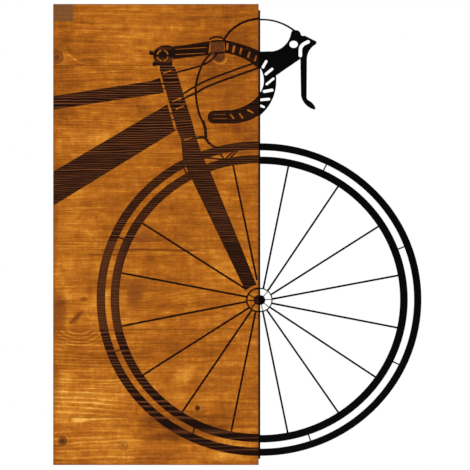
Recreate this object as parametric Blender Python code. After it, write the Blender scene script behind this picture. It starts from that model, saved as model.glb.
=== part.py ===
"""Wall panel of a road bike: an engraved pine board with a folded sheet-steel half along its right edge.

Outlines are in millimetres in the panel's plane: x to the right, z up, from the middle of the board.
The board's back face is y = 0, and the panel's front faces -y.
"""

import math

import bmesh
import bpy
from mathutils import Matrix, Vector

MM = 0.001
GAP = 0.3
FLANGE_GAP = 0.05

# Board
BOARD_WIDTH = 254.0
BOARD_HEIGHT = 570.0
BOARD_THICKNESS = 18.0
BOARD_FRONT = -BOARD_THICKNESS
BOARD_RIGHT = BOARD_WIDTH / 2
EDGE_ROUNDING = 0.5
GLUE_JOINTS = (209.0, 100.4, -8.7, -117.5, -226.3)
ENGRAVING_DEPTH = 0.6
SCORCH_DEPTH = 0.25

# Folded sheet
SHEET = 2.0
BEND_RADIUS = 2.6
FLANGE_FACE = BOARD_RIGHT + FLANGE_GAP
ART_LEFT = FLANGE_FACE + BEND_RADIUS
BEND_LENGTH = math.pi / 2 * (BEND_RADIUS - SHEET / 2)
BEND_STRIPS = 5
FLANGE_EDGE = ART_LEFT - BEND_LENGTH
FLANGE_DEPTH = 12.4
FLANGE_END = FLANGE_EDGE - FLANGE_DEPTH
FLANGE_HALF = 277.7

# Wheel: each half has its own axis and radii, and the engraved lines are a little broader than the steel ones
RIM_HEIGHT_RATIO = 0.9735
STEEL_RIMS = {"inner_bore": 172.2, "inner_edge": 181.6, "outer_bore": 189.5, "outer_edge": 198.5}
BOARD_RIMS = {"inner_bore": 171.9, "inner_edge": 182.4, "outer_bore": 189.2, "outer_edge": 199.7}
STEEL_AXLE = (129.8, -80.4)
BOARD_AXLE = (126.4, -79.2)
STEEL_HUB = (129.3, -81.0)
BOARD_HUB = (126.6, -81.0)
HUB_RADIUS = 6.0
HUB_RING_RADIUS = 14.3
STEEL_RING_WIDTH = 1.5
STEEL_WEB_ANGLES = (-78.0, -40.0, 3.0, 50.0)
STEEL_WEB_WIDTH = 1.0
STEEL_SPOKE_CENTRE = (129.6, -82.4)
STEEL_SPOKE_ANGLES = (-78.4, -55.1, -33.5, -11.0, 10.6, 32.4, 56.0, 78.4)
STEEL_SPOKE_WIDTH = 2.3
STEEL_TIE_ANGLES = (-70.6, -25.2, 20.2, 64.1)
STEEL_TIE_WIDTH = 1.7
BOARD_RING_WIDTH = 2.2
BOARD_WEB_ANGLES = (150.0, 184.0, 229.0)
BOARD_WEB_WIDTH = 1.5
BOARD_SPOKE_WIDTH = 2.5
BOARD_TIE_WIDTH = 2.2

# Fixings
FLANGE_SCREW_HEIGHTS = (262.0, 131.0, 0.0, -131.0, -262.0)
FLANGE_SCREW_DEPTH = BOARD_FRONT / 2
HANGER_X = 80.0
HANGER_Z = 200.0
HANGER_SCREW_DROPS = (12.0, 34.0)
PLATE = 1.2
PLATE_WIDTH = 13.0
PLATE_LENGTH = 42.0
KNUCKLE_RADIUS = 2.5
KNUCKLE_BORE = 1.1
KNUCKLE_HALF = 5.8
KNUCKLE_INSET = 0.08
KNUCKLE_Y = GAP + KNUCKLE_INSET + KNUCKLE_RADIUS
RING_WIRE = 1.0
RING_HALF = 10.5
RING_DROP = 20.0
BUMPER_RADIUS = 6.5
BUMPER_HEIGHT = 6.0
BUMPER_PLACES = {
    "top_left": (-112.0, 270.0),
    "top_right": (112.0, 270.0),
    "low_left": (-112.0, -270.0),
    "low_right": (112.0, -270.0),
}

CHORD_ERROR = 0.038
WELD = 0.04


def clear_scene():
    for obj in list(bpy.data.objects):
        bpy.data.objects.remove(obj, do_unlink=True)


def new_collection(name, helper=False):
    found = bpy.data.collections.new(name)
    bpy.context.scene.collection.children.link(found)
    found.hide_render = helper
    return found


def new_material(name, colour, roughness, metallic=0.0):
    material = bpy.data.materials.new(name)
    material.use_nodes = True
    shader = material.node_tree.nodes["Principled BSDF"]
    shader.inputs["Base Color"].default_value = (*colour, 1.0)
    shader.inputs["Roughness"].default_value = roughness
    shader.inputs["Metallic"].default_value = metallic
    material.diffuse_color = (*colour, 1.0)
    return material


clear_scene()
PANEL = new_collection("bike_wall_panel")
CUTTERS = new_collection("cutters", helper=True)
PINE = new_material("stained_pine", (0.42, 0.17, 0.035), 0.45)
BLACK = new_material("black_powder_coat", (0.012, 0.012, 0.013), 0.5)
ZINC = new_material("zinc_plate", (0.62, 0.62, 0.6), 0.32, 1.0)
RUBBER = new_material("rubber", (0.03, 0.03, 0.03), 0.8)


# Outlines

def circle_through(a, b, c):
    ax, az = a
    bx, bz = b
    cx, cz = c
    d = 2 * (ax * (bz - cz) + bx * (cz - az) + cx * (az - bz))
    a2 = ax * ax + az * az
    b2 = bx * bx + bz * bz
    c2 = cx * cx + cz * cz
    x = (a2 * (bz - cz) + b2 * (cz - az) + c2 * (az - bz)) / d
    z = (a2 * (cx - bx) + b2 * (ax - cx) + c2 * (bx - ax)) / d
    return x, z, math.hypot(ax - x, az - z)


def arc_steps(radius, sweep):
    step = 2 * math.acos(max(0.0, 1 - CHORD_ERROR / radius))
    return max(2, math.ceil(abs(sweep) / step))


def three_point_arc(a, b, c):
    """Points after a, up to and including c, of the arc that passes b."""
    x, z, radius = circle_through(a, b, c)
    start = math.atan2(a[1] - z, a[0] - x)
    past = (math.atan2(b[1] - z, b[0] - x) - start) % math.tau
    sweep = (math.atan2(c[1] - z, c[0] - x) - start) % math.tau
    if past > sweep:
        sweep -= math.tau
    steps = arc_steps(radius, sweep)
    angles = [start + sweep * i / steps for i in range(1, steps + 1)]
    return [(x + radius * math.cos(t), z + radius * math.sin(t)) for t in angles]


def trace(start, *moves):
    """An outline from start: a point means a line to it, a pair means an arc through one to the other."""
    points = [start]
    for move in moves:
        if isinstance(move[0], tuple):
            points += three_point_arc(points[-1], *move)
        else:
            points.append(move)
    return points


def oval(centre, half_width, half_height=None):
    half_height = half_height or half_width
    steps = arc_steps(half_width, math.tau)
    angles = [math.tau * i / steps for i in range(steps)]
    return [(centre[0] + half_width * math.cos(t), centre[1] + half_height * math.sin(t)) for t in angles]


def smooth(points, steps=6):
    """A curve through all the points, with each tangent set by the point's neighbours."""
    found = [points[0]]
    for i in range(len(points) - 1):
        before = points[max(i - 1, 0)]
        a, b = points[i], points[i + 1]
        after = points[min(i + 2, len(points) - 1)]
        for k in range(1, steps + 1):
            t = k / steps
            weights = (-t + 2 * t**2 - t**3, 2 - 5 * t**2 + 3 * t**3, t + 4 * t**2 - 3 * t**3, -t**2 + t**3)
            parts = list(zip(weights, (before, a, b, after)))
            found.append(tuple(sum(w * p[j] for w, p in parts) / 2 for j in (0, 1)))
    return found


def stroke(points, width, round_ends=False):
    """The outline of a line of this width along the points."""
    half = width / 2
    left, right = [], []
    for i, point in enumerate(points):
        before = Vector(points[max(i - 1, 0)])
        after = Vector(points[min(i + 1, len(points) - 1)])
        here = Vector(point)
        into = (here - before).normalized() if i else (after - here).normalized()
        out = (after - here).normalized() if i < len(points) - 1 else into
        normal = Vector((-into.y - out.y, into.x + out.x)).normalized()
        reach = half / max(0.5, normal.dot(Vector((-into.y, into.x))))
        left.append(tuple(here + normal * reach))
        right.append(tuple(here - normal * reach))
    right.reverse()
    if not round_ends:
        return left + right
    end_way = (Vector(points[-1]) - Vector(points[-2])).normalized()
    start_way = (Vector(points[0]) - Vector(points[1])).normalized()
    end_tip = tuple(Vector(points[-1]) + end_way * half)
    start_tip = tuple(Vector(points[0]) + start_way * half)
    end_cap = three_point_arc(left[-1], end_tip, right[0])
    start_cap = three_point_arc(right[-1], start_tip, left[0])
    return left + end_cap + right[1:] + start_cap[:-1]


# Wheel outlines

def rim_point(axle, radius, angle):
    return axle[0] + radius * math.cos(angle), axle[1] + radius * RIM_HEIGHT_RATIO * math.sin(angle)


def rim_angle(axle, radius, point, way):
    """The rim's angle where a line from the point along way leaves it."""
    px = (point[0] - axle[0]) / radius
    pz = (point[1] - axle[1]) / (radius * RIM_HEIGHT_RATIO)
    wx = way[0] / radius
    wz = way[1] / (radius * RIM_HEIGHT_RATIO)
    a = wx * wx + wz * wz
    b = px * wx + pz * wz
    c = px * px + pz * pz - 1
    along = (-b + math.sqrt(b * b - a * c)) / a
    return math.atan2(pz + along * wz, px + along * wx)


def rim_arc(axle, radius, start, end):
    steps = arc_steps(radius, end - start)
    return [rim_point(axle, radius, start + (end - start) * i / steps) for i in range(steps + 1)]


def ring_point(angle, radius):
    return STEEL_HUB[0] + radius * math.cos(angle), STEEL_HUB[1] + radius * math.sin(angle)


def ring_angle(radius, point, way):
    x = point[0] - STEEL_HUB[0]
    z = point[1] - STEEL_HUB[1]
    b = x * way[0] + z * way[1]
    along = -b + math.sqrt(b * b - (x * x + z * z - radius * radius))
    return math.atan2(z + along * way[1], x + along * way[0])


def ring_arc(radius, start, end):
    steps = arc_steps(radius, end - start)
    return [ring_point(start + (end - start) * i / steps, radius) for i in range(steps + 1)]


def spoke_edges(centre, angle, width):
    """The low-side and high-side edges of a spoke, each a point and a way."""
    way = (math.cos(angle), math.sin(angle))
    low = (centre[0] + way[1] * width / 2, centre[1] - way[0] * width / 2)
    high = (centre[0] - way[1] * width / 2, centre[1] + way[0] * width / 2)
    return (low, way), (high, way)


def windows_between(edges, inner_angle, inner_arc, outer_radius):
    """Openings between neighbouring spokes, from an inner circle to a rim's bore."""
    down, up = (0.0, -1.0), (0.0, 1.0)
    bounds = [((FLANGE_EDGE, STEEL_HUB[1]), down)]
    for low, high in edges:
        bounds += [low, high]
    bounds.append(((FLANGE_EDGE, STEEL_HUB[1]), up))
    found = []
    for i in range(0, len(bounds), 2):
        first, last = bounds[i], bounds[i + 1]
        inner = inner_arc(inner_angle(*last), inner_angle(*first))
        outer = rim_arc(STEEL_AXLE, outer_radius, rim_angle(STEEL_AXLE, outer_radius, *first),
                        rim_angle(STEEL_AXLE, outer_radius, *last))
        found.append(inner + outer)
    return found


def steel_wheel_windows():
    outside = HUB_RING_RADIUS + STEEL_RING_WIDTH / 2
    edges = [spoke_edges(STEEL_SPOKE_CENTRE, math.radians(a), STEEL_SPOKE_WIDTH) for a in STEEL_SPOKE_ANGLES]
    windows = windows_between(
        edges,
        lambda point, way: ring_angle(outside, point, way),
        lambda start, end: ring_arc(outside, start, end),
        STEEL_RIMS["inner_bore"],
    )
    # Gap between the two rims, crossed by short ties
    bounds = [((FLANGE_EDGE, STEEL_AXLE[1]), (0.0, -1.0))]
    for angle in STEEL_TIE_ANGLES:
        bounds += spoke_edges(STEEL_AXLE, math.radians(angle), STEEL_TIE_WIDTH)
    bounds.append(((FLANGE_EDGE, STEEL_AXLE[1]), (0.0, 1.0)))
    for first, last in zip(bounds[::2], bounds[1::2]):
        sides = []
        for name, (start, end) in (("inner_edge", (last, first)), ("outer_bore", (first, last))):
            radius = STEEL_RIMS[name]
            sides += rim_arc(STEEL_AXLE, radius, rim_angle(STEEL_AXLE, radius, *start),
                             rim_angle(STEEL_AXLE, radius, *end))
        windows.append(sides)
    # Openings inside the hub ring, between thin radial webs
    inside = HUB_RING_RADIUS - STEEL_RING_WIDTH / 2
    bounds = [((FLANGE_EDGE, STEEL_HUB[1]), (0.0, -1.0))]
    for angle in STEEL_WEB_ANGLES:
        bounds += spoke_edges(STEEL_HUB, math.radians(angle), STEEL_WEB_WIDTH)
    bounds.append(((FLANGE_EDGE, STEEL_HUB[1]), (0.0, 1.0)))
    for first, last in zip(bounds[::2], bounds[1::2]):
        sides = ring_arc(HUB_RADIUS, ring_angle(HUB_RADIUS, *last), ring_angle(HUB_RADIUS, *first))
        sides += ring_arc(inside, ring_angle(inside, *first), ring_angle(inside, *last))
        windows.append(sides)
    return windows


# Steel half, as a flat pattern

def steel_outline():
    """Round the sheet: flange, cable, brake hood, lever, handlebar drop, wheel."""
    edge = FLANGE_EDGE
    corner = 2.5
    handlebar = trace(
        (FLANGE_END, -FLANGE_HALF + corner),
        (FLANGE_END, FLANGE_HALF - corner),
        ((FLANGE_END + corner * 0.293, FLANGE_HALF - corner * 0.293), (FLANGE_END + corner, FLANGE_HALF)),
        (edge - corner, FLANGE_HALF),
        ((edge - corner * 0.293, FLANGE_HALF - corner * 0.293), (edge, FLANGE_HALF - corner)),
        (edge, 266.8),
        (130.6, 266.8),
        ((155.6, 262.2), (171.4, 253.3)),
        (172.8, 252.6),
        ((177.2, 251.3), (179.0, 248.4)),
        (179.7, 246.2),
        ((181.6, 245.6), (184.2, 245.9)),
        (196.0, 239.9),
        ((198.6, 237.2), (196.8, 234.7)),
        ((190.2, 228.2), (186.7, 215.4)),
        (186.4, 170.0),
        ((187.3, 167.2), (189.6, 165.5)),
        ((194.6, 161.3), (197.2, 156.9)),
        ((196.8, 155.0), (194.6, 154.9)),
        ((184.4, 161.6), (179.4, 172.3)),
        (178.6, 217.2),
        (148.5, 196.5),
        ((145.4, 170.6), (129.3, 147.8)),
        (edge, 146.2),
    )
    radius = STEEL_RIMS["outer_edge"]
    top = math.pi / 2 + math.asin((STEEL_AXLE[0] - edge) / radius)
    wheel = rim_arc(STEEL_AXLE, radius, top, -top)
    foot = trace(
        (edge, -FLANGE_HALF + corner),
        ((edge - corner * 0.293, -FLANGE_HALF + corner * 0.293), (edge - corner, -FLANGE_HALF)),
        (FLANGE_END + corner, -FLANGE_HALF),
        ((FLANGE_END + corner * 0.293, -FLANGE_HALF + corner * 0.293), (FLANGE_END, -FLANGE_HALF + corner)),
    )
    return handlebar + wheel + foot[:-1]


def steel_openings():
    edge = FLANGE_EDGE
    under_cable = trace(
        (edge, 264.9),
        (130.6, 264.9),
        ((154.6, 260.4), (169.0, 252.2)),
        (167.3, 250.4),
        ((161.4, 236.3), (145.0, 226.6)),
        (129.6, 226.2),
        (edge, 226.2),
    )
    inside_drop = trace((edge, 208.6), ((133.5, 190.8), (edge, 172.8)))
    hood_hole = oval((170.3, 235.2), 5.3, 4.5)
    hood_slot = stroke(smooth([(188.3, 238.3), (182.6, 235.4), (179.0, 230.6), (178.6, 221.4)], 4), 4.4, True)
    tape = (
        ((136.4, 214.1), (132.4, 206.9), 3.4),
        ((143.6, 204.6), (136.0, 198.4), 3.4),
        ((145.3, 192.8), (137.0, 185.9), 3.0),
        ((143.6, 178.6), (134.0, 176.9), 3.8),
        ((139.7, 167.4), (129.4, 166.5), 3.4),
        ((133.4, 157.8), (129.4, 159.3), 3.0),
    )
    return [under_cable, inside_drop, hood_hole, hood_slot] + [stroke((a, b), w, True) for a, b, w in tape]


# Engraved half

def board_bands():
    """The half rims, with the hub ring and the hub."""
    right = BOARD_RIGHT + 1
    found = []
    for outer, inner in (("outer_edge", "outer_bore"), ("inner_edge", "inner_bore")):
        ends = []
        for name in (outer, inner):
            ends.append(math.pi / 2 - math.asin((right - BOARD_AXLE[0]) / BOARD_RIMS[name]))
        rim = rim_arc(BOARD_AXLE, BOARD_RIMS[outer], ends[0], math.tau - ends[0])
        found.append(rim + rim_arc(BOARD_AXLE, BOARD_RIMS[inner], math.tau - ends[1], ends[1]))
    x, z = BOARD_HUB
    reach = right - x
    outside = HUB_RING_RADIUS + BOARD_RING_WIDTH / 2
    inside = HUB_RING_RADIUS - BOARD_RING_WIDTH / 2
    found.append(trace(
        (right, z + math.sqrt(outside**2 - reach**2)),
        ((x - outside, z), (right, z - math.sqrt(outside**2 - reach**2))),
        (right, z - math.sqrt(inside**2 - reach**2)),
        ((x - inside, z), (right, z + math.sqrt(inside**2 - reach**2))),
    ))
    hub = math.sqrt(HUB_RADIUS**2 - reach**2)
    found.append(trace((right, z + hub), ((x - HUB_RADIUS, z), (right, z - hub))))
    return found


def board_spokes():
    lines = (
        ((-20.0, 16.0), (112.0, -68.0)),
        ((-47.0, -46.7), (112.4, -77.0)),
        ((-46.5, -114.1), (112.2, -83.0)),
        ((-18.0, -175.0), (115.6, -90.3)),
        ((30.0, -223.2), (119.0, -92.6)),
        ((92.2, -248.0), (123.4, -95.0)),
        ((94.8, 89.0), (125.0, -56.5)),
    )
    ties = (
        ((-50.0, -2.5), (-36.5, -6.6)),
        ((33.6, 84.9), (39.0, 72.0)),
        ((-55.0, -145.0), (-40.0, -142.4)),
        ((44.6, -248.5), (49.0, -235.5)),
        ((76.2, 103.6), (85.8, 91.4)),
        ((104.6, 107.2), (90.4, 93.0)),
    )
    return ([stroke(line, BOARD_SPOKE_WIDTH) for line in lines]
            + [stroke(line, BOARD_TIE_WIDTH) for line in ties])


def board_hub_webs():
    x, z = BOARD_HUB
    found = [stroke(((100.6, 106.4), (85.4, 93.2)), 2.2)]
    for degrees in BOARD_WEB_ANGLES:
        way = (math.cos(math.radians(degrees)), math.sin(math.radians(degrees)))
        ends = [(x + r * way[0], z + r * way[1]) for r in (HUB_RADIUS - 1, HUB_RING_RADIUS - 0.4)]
        found.append(stroke(ends, BOARD_WEB_WIDTH))
    return found


def board_head_and_fork():
    outline = trace(
        (4.6, 204.4),
        (15.5, 166.2),
        (26.3, 129.3),
        (31.0, 117.4),
        (32.4, 103.8),
        ((33.3, 93.6), (37.8, 81.8)),
        (45.5, 65.7),
        (110.6, -69.6),
        ((116.9, -65.2), (124.4, -62.2)),
        (67.2, 78.3),
        ((61.0, 89.9), (55.0, 104.8)),
        (49.5, 121.3),
        (43.7, 143.0),
        (37.0, 163.0),
        (30.3, 186.5),
        (24.6, 204.4),
    )
    slots = (
        ((9.2, 199.6), (19.0, 202.6), 1.7),
        ((20.6, 164.6), (31.4, 168.8), 1.9),
        ((24.6, 155.0), (34.8, 158.8), 1.9),
        ((35.2, 116.8), (44.8, 119.6), 1.6),
        ((38.0, 76.6), (41.4, 71.4), 1.8),
    )
    return [outline] + [stroke((a, b), w) for a, b, w in slots]


def board_tubes():
    left = -BOARD_RIGHT - 1
    top_tube = trace((left, 170.9), (-5.4, 190.0), (5.0, 194.0), (10.0, 175.1), (left, 154.3))
    down_tube = trace((left, 77.2), (14.2, 160.9), (23.4, 127.8), (left, 35.0))
    grip = trace(
        (71.4, 153.2),
        (93.1, 153.8),
        ((110.6, 159.4), (BOARD_RIGHT + 1, 173.2)),
        (BOARD_RIGHT + 1, 147.8),
        ((112.0, 140.0), (90.0, 137.2)),
        (71.4, 137.2),
        ((63.9, 145.2), (71.4, 153.2)),
    )[:-1]
    grip_slots = (
        ((91.8, 148.8), (96.4, 143.2), 2.0),
        ((103.0, 149.8), (107.6, 143.8), 2.2),
        ((113.2, 154.2), (120.6, 150.2), 2.2),
        ((71.0, 148.4), (86.0, 148.4), 0.5),
        ((71.0, 143.4), (88.0, 143.4), 0.5),
    )
    brake_arm = stroke(((57.6, 95.3), (84.2, 92.7)), 2.2)
    return [top_tube, down_tube, grip, brake_arm] + [stroke((a, b), w) for a, b, w in grip_slots]


def board_stem():
    outline = trace(
        (20.2, 232.6),
        (34.0, 233.9),
        (52.9, 237.1),
        (66.8, 239.2),
        (64.8, 221.8),
        (36.0, 218.5),
        (20.4, 216.4),
        (20.4, 208.2),
        (23.4, 207.0),
        (24.6, 203.4),
        (5.2, 203.4),
        (4.6, 209.0),
        (-4.0, 207.8),
        (-4.2, 212.4),
        (-1.4, 214.6),
        ((-3.6, 221.6), (0.0, 229.8)),
        ((8.8, 233.8), (20.2, 232.6)),
    )[:-1]
    lines = (
        ((24.0, 229.0), (62.6, 231.4), 0.65),
        ((24.0, 222.6), (61.0, 224.2), 0.65),
    )
    x, z = 8.3, 221.2
    arcs = []
    for middle in (45, 135, 225, 315):
        ends = [math.radians(middle + turn) for turn in (-34, 0, 34)]
        outer = [(x + 7.4 * math.cos(t), z + 7.4 * math.sin(t)) for t in ends]
        inner = [(x + 5.9 * math.cos(t), z + 5.9 * math.sin(t)) for t in reversed(ends)]
        arcs.append(trace(outer[0], (outer[1], outer[2]), inner[0], (inner[1], inner[2])))
    return [outline] + [stroke((a, b), w) for a, b, w in lines] + arcs


def board_handlebar():
    right = BOARD_RIGHT + 1
    tape = trace(
        (84.6, 240.6),
        ((104.0, 236.0), (right, 227.0)),
        (right, 203.8),
        ((108.6, 217.4), (85.4, 224.4)),
    )
    slots = (
        ((88.7, 236.4), (87.7, 228.0), 2.9),
        ((97.0, 233.4), (95.2, 224.8), 3.1),
        ((105.9, 230.6), (103.9, 222.8), 2.5),
        ((116.2, 225.8), (113.7, 218.8), 2.7),
        ((124.2, 221.4), (122.4, 214.4), 1.8),
    )
    return [tape] + [stroke((a, b), w) for a, b, w in slots]


def board_cables():
    """Groups of cables, and of the short marks that join tubes, that don't cross within a group."""
    right = BOARD_RIGHT + 1
    front = smooth([(69.0, 225.4), (58.0, 211.4), (50.4, 189.7), (49.4, 173.0), (52.9, 151.2), (59.4, 136.4)])
    dome = three_point_arc((64.4, 239.4), (75.4, 244.4), (86.4, 239.4))
    top = smooth([(83.6, 239.0), (87.6, 246.0), (94.7, 254.0), (109.8, 263.2), (right, 267.4)])
    brake = smooth([(43.0, 116.6), (49.0, 119.2), (60.0, 119.6), (66.0, 112.6), (75.0, 107.6), (88.0, 108.4)])
    low = smooth([(right, 206.4), (69.7, 185.5), (50.0, 175.4), (32.6, 167.6)])
    high = smooth([(119.6, 211.4), (84.0, 198.6), (61.3, 189.7), (45.0, 181.0), (31.6, 172.6)])
    barrel = [(58.0, 140.9), (61.2, 130.4), (61.8, 119.6)]
    stem_cable = smooth([(22.0, 199.8), (40.0, 204.2), (58.0, 209.7), (69.4, 216.4), (76.0, 224.4)])
    welds = (
        ((6.0, 186.6), (11.0, 186.0), 2.2),
        ((7.6, 180.4), (13.0, 179.6), 1.4),
        ((15.8, 150.3), (21.6, 149.6), 1.8),
        ((18.2, 142.5), (24.0, 141.8), 1.8),
        ((21.8, 129.4), (27.6, 130.2), 1.6),
    )
    clamp_top = three_point_arc((64.0, 237.8), (75.0, 239.6), (85.6, 239.0))
    clamp_foot = three_point_arc((64.0, 222.4), (75.0, 224.2), (86.4, 225.6))
    stub = trace((-8.2, 227.4), (-3.0, 226.8), (-3.6, 221.8), (-8.2, 222.0))
    return (
        [stroke(front, 2.7), stroke(brake, 3.4), stub, stroke(clamp_top, 2.0)],
        [stroke(dome, 2.1), stroke(low, 2.7), stroke(barrel, 3.8)],
        [stroke(top, 2.9), stroke(high, 2.5), stroke(clamp_foot, 2.2)],
        [stroke(stem_cable, 2.3)] + [stroke((a, b), width) for a, b, width in welds],
    )


def board_scorch():
    """The bar clamp, lightly marked."""
    clamp = trace((67.6, 239.0), ((75.5, 240.4), (84.2, 239.8)), (84.2, 225.4),
                  ((77.6, 213.8), (70.2, 220.8)), (67.6, 222.8))
    return [clamp]


# Solids

def place(mesh, name, collection, material=None, smooth_angle=None):
    obj = bpy.data.objects.new(name, mesh)
    collection.objects.link(obj)
    if material:
        mesh.materials.clear()
        mesh.materials.append(material)
    if smooth_angle is not None:
        mesh.shade_smooth()
        mesh.set_sharp_from_angle(angle=math.radians(smooth_angle))
    if collection is CUTTERS:
        obj.hide_render = True
        obj.display_type = "WIRE"
    return obj


def finish_bmesh(bm, name):
    bmesh.ops.recalc_face_normals(bm, faces=bm.faces)
    mesh = bpy.data.meshes.new(name)
    bm.to_mesh(mesh)
    bm.free()
    return mesh


def flat_solid(name, outlines, front, back):
    """A plate of these outlines, the inner ones as holes, from y = front to y = back."""
    curve = bpy.data.curves.new(name, "CURVE")
    curve.dimensions = "2D"
    curve.fill_mode = "BOTH"
    curve.extrude = (back - front) / 2 * MM
    for outline in outlines:
        spline = curve.splines.new("POLY")
        spline.points.add(len(outline) - 1)
        for point, (x, z) in zip(spline.points, outline):
            point.co = (x * MM, z * MM, 0.0, 1.0)
        spline.use_cyclic_u = True
    obj = bpy.data.objects.new(name, curve)
    CUTTERS.objects.link(obj)
    bpy.context.view_layer.update()
    graph = bpy.context.evaluated_depsgraph_get()
    mesh = bpy.data.meshes.new_from_object(obj.evaluated_get(graph))
    bpy.data.objects.remove(obj, do_unlink=True)
    mesh.transform(Matrix.Translation((0, (front + back) / 2 * MM, 0)) @ Matrix.Rotation(math.pi / 2, 4, "X"))
    bm = bmesh.new()
    bm.from_mesh(mesh)
    bmesh.ops.remove_doubles(bm, verts=bm.verts, dist=1e-6)
    return bm


def engraving_cutters(name, groups, depth):
    """One cutter for each group of outlines, each a hair less deep, so that no two floors are coplanar."""
    cutters = []
    for i, outlines in enumerate(groups):
        bm = flat_solid(f"{name}_{i}", outlines, BOARD_FRONT - 1.0 - i / 20, BOARD_FRONT + depth - i / 60)
        cutters.append(place(finish_bmesh(bm, f"{name}_{i}"), f"{name}_{i}", CUTTERS))
    return cutters


def heights(mesh):
    found = [vert.co.z / MM for vert in mesh.vertices]
    return min(found), max(found)


def add_boolean(obj, cutter, operation="DIFFERENCE"):
    modifier = obj.modifiers.new(cutter.name, "BOOLEAN")
    modifier.object = cutter
    modifier.operation = operation
    modifier.solver = "EXACT"


def tidy(obj):
    """Closes hairline steps that the Booleans leave, and joins faces that lie in one plane."""
    weld = obj.modifiers.new("weld", "WELD")
    weld.merge_threshold = WELD * MM
    dissolve = obj.modifiers.new("dissolve", "DECIMATE")
    dissolve.decimate_type = "DISSOLVE"
    dissolve.angle_limit = math.radians(0.3)


def revolve(name, profile, centre, axis, sides=16):
    """A solid of revolution: profile holds (distance along the axis, radius), axis is 'X' or 'Y'."""
    bm = bmesh.new()
    rings = []
    for along, radius in profile:
        ring = []
        for i in range(sides):
            turn = math.tau * (i + 0.5) / sides
            across = (radius * math.cos(turn), radius * math.sin(turn))
            offset = (along, across[0], across[1]) if axis == "X" else (across[0], along, across[1])
            ring.append(bm.verts.new([(c + o) * MM for c, o in zip(centre, offset)]))
        rings.append(ring)
    for a, b in zip(rings, rings[1:]):
        for i in range(sides):
            k = (i + 1) % sides
            bm.faces.new((a[i], a[k], b[k], b[i]))
    bm.faces.new(rings[0])
    bm.faces.new(rings[-1])
    return finish_bmesh(bm, name)


def joined_mesh(name, meshes):
    bm = bmesh.new()
    for mesh in meshes:
        bm.from_mesh(mesh)
        bpy.data.meshes.remove(mesh)
    return finish_bmesh(bm, name)


def cross_cutter(name, centre, axis, depth):
    """A cross recess for a driver, cut to this depth on both sides of the centre."""
    arm, half = 1.75, 0.42
    corners = ((half, half), (half, arm), (-half, arm), (-half, half), (-arm, half), (-arm, -half),
               (-half, -half), (-half, -arm), (half, -arm), (half, -half), (arm, -half), (arm, half))
    bm = bmesh.new()
    rings = []
    for along in (-depth, depth):
        ring = []
        for a, b in corners:
            offset = (along, a, b) if axis == "X" else (a, along, b)
            ring.append(bm.verts.new([(c + o) * MM for c, o in zip(centre, offset)]))
        rings.append(ring)
    for i in range(len(corners)):
        k = (i + 1) % len(corners)
        bm.faces.new((rings[0][i], rings[0][k], rings[1][k], rings[1][i]))
    bm.faces.new(rings[0])
    bm.faces.new(rings[1])
    return place(finish_bmesh(bm, name), name, CUTTERS)


def board_blank():
    bm = bmesh.new()
    bmesh.ops.create_cube(bm, size=1.0)
    size = (BOARD_WIDTH * MM, BOARD_THICKNESS * MM, BOARD_HEIGHT * MM)
    bmesh.ops.scale(bm, vec=size, verts=bm.verts)
    bmesh.ops.translate(bm, vec=(0, -BOARD_THICKNESS / 2 * MM, 0), verts=bm.verts)
    edges = list(bm.edges)
    bmesh.ops.bevel(bm, geom=edges, offset=EDGE_ROUNDING * MM, segments=2, profile=0.5, affect="EDGES")
    return bm


def make_lamellas(cutters):
    blank = board_blank()
    limits = (BOARD_HEIGHT, *GLUE_JOINTS, -BOARD_HEIGHT)
    for i, (top, foot) in enumerate(zip(limits, limits[1:]), 1):
        bm = blank.copy()
        for height, normal in ((top - GAP / 2, (0, 0, 1)), (foot + GAP / 2, (0, 0, -1))):
            geometry = list(bm.verts) + list(bm.edges) + list(bm.faces)
            plane = (0, 0, height * MM)
            bmesh.ops.bisect_plane(bm, geom=geometry, plane_co=plane, plane_no=normal, clear_outer=True)
            rim = [edge for edge in bm.edges if edge.is_boundary]
            if rim:
                bmesh.ops.holes_fill(bm, edges=rim, sides=0)
        lamella = place(finish_bmesh(bm, f"lamella_{i}"), f"lamella_{i}", PANEL, PINE)
        for cutter in cutters:
            low, high = heights(cutter.data)
            if low < top and high > foot:
                add_boolean(lamella, cutter)
        tidy(lamella)
    blank.free()


def fold(bm):
    """Bends the flat pattern's left part back by a right angle, to lie along the board's edge."""
    for i in range(BEND_STRIPS + 1):
        line = FLANGE_EDGE + BEND_LENGTH * i / BEND_STRIPS
        geometry = list(bm.verts) + list(bm.edges) + list(bm.faces)
        bmesh.ops.bisect_plane(bm, geom=geometry, plane_co=(line * MM, 0, 0), plane_no=(1, 0, 0), dist=1e-7)
    for vert in bm.verts:
        x = vert.co.x / MM
        depth = vert.co.y / MM - BOARD_FRONT
        past = ART_LEFT - x
        if past <= 1e-6:
            continue
        radius = BEND_RADIUS - depth
        turn = min(past / BEND_LENGTH, 1.0) * math.pi / 2
        straight = max(past - BEND_LENGTH, 0.0)
        vert.co.x = (ART_LEFT - radius * math.sin(turn)) * MM
        vert.co.y = (BOARD_FRONT + BEND_RADIUS - radius * math.cos(turn) + straight) * MM


def make_steel(cutters):
    outlines = [steel_outline()] + steel_openings() + steel_wheel_windows()
    bm = flat_solid("steel_art", outlines, BOARD_FRONT, BOARD_FRONT + SHEET)
    fold(bm)
    steel = place(finish_bmesh(bm, "steel_art"), "steel_art", PANEL, BLACK)
    for cutter in cutters:
        add_boolean(steel, cutter)
    tidy(steel)


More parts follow.
